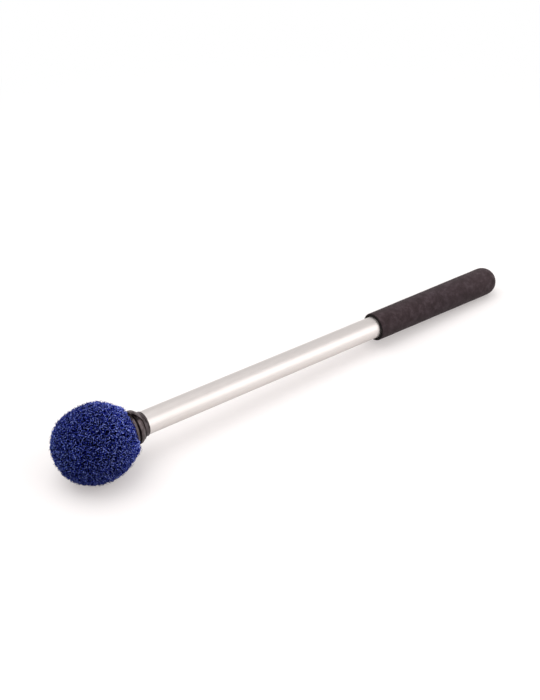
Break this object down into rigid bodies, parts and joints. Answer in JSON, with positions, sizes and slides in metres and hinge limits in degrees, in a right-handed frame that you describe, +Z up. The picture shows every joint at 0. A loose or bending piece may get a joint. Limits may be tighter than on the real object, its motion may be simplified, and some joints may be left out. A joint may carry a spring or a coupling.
{
  "type": "surdo mallet",
  "caption": "Drum beater with an egg-shaped padded head in looped plush, bound behind with black strip, on a straight aluminium tube with a domed foam grip.",
  "frame": {"origin": "middle of the mallet's footprint, on the surface that its head and grip lie on", "axes": "+X along the mallet from head to grip, +Z up; the mallet lies down, so its axis falls 2.4 degrees towards the grip"},
  "size_m": [0.4596, 0.0608, 0.0604],
  "materials": {
    "plush": "royal blue looped pile",
    "strip": "satin black-brown wound strip",
    "tube": "satin anodised",
    "foam": "matt charcoal foam",
    "plug": "black moulded",
    "wood": "turned beech, bare",
    "zinc_steel": "zinc plated",
    "felt": "pressed wool felt",
    "twine": "waxed"
  },
  "bodies": {
    "root": {"plush_cover": "plush", "binding_strip": "strip", "shaft_tube": "tube", "grip_sleeve": "foam", "tube_end_plug": "plug", "head_core": "wood", "shaft_dowel": "wood", "core_screw": "zinc_steel", "core_washer": "zinc_steel", "lock_pin": "zinc_steel", "felt_wrap": "felt", "felt_front_pad": "felt", "tie_cord": "twine"}
  },
  "joints": []
}
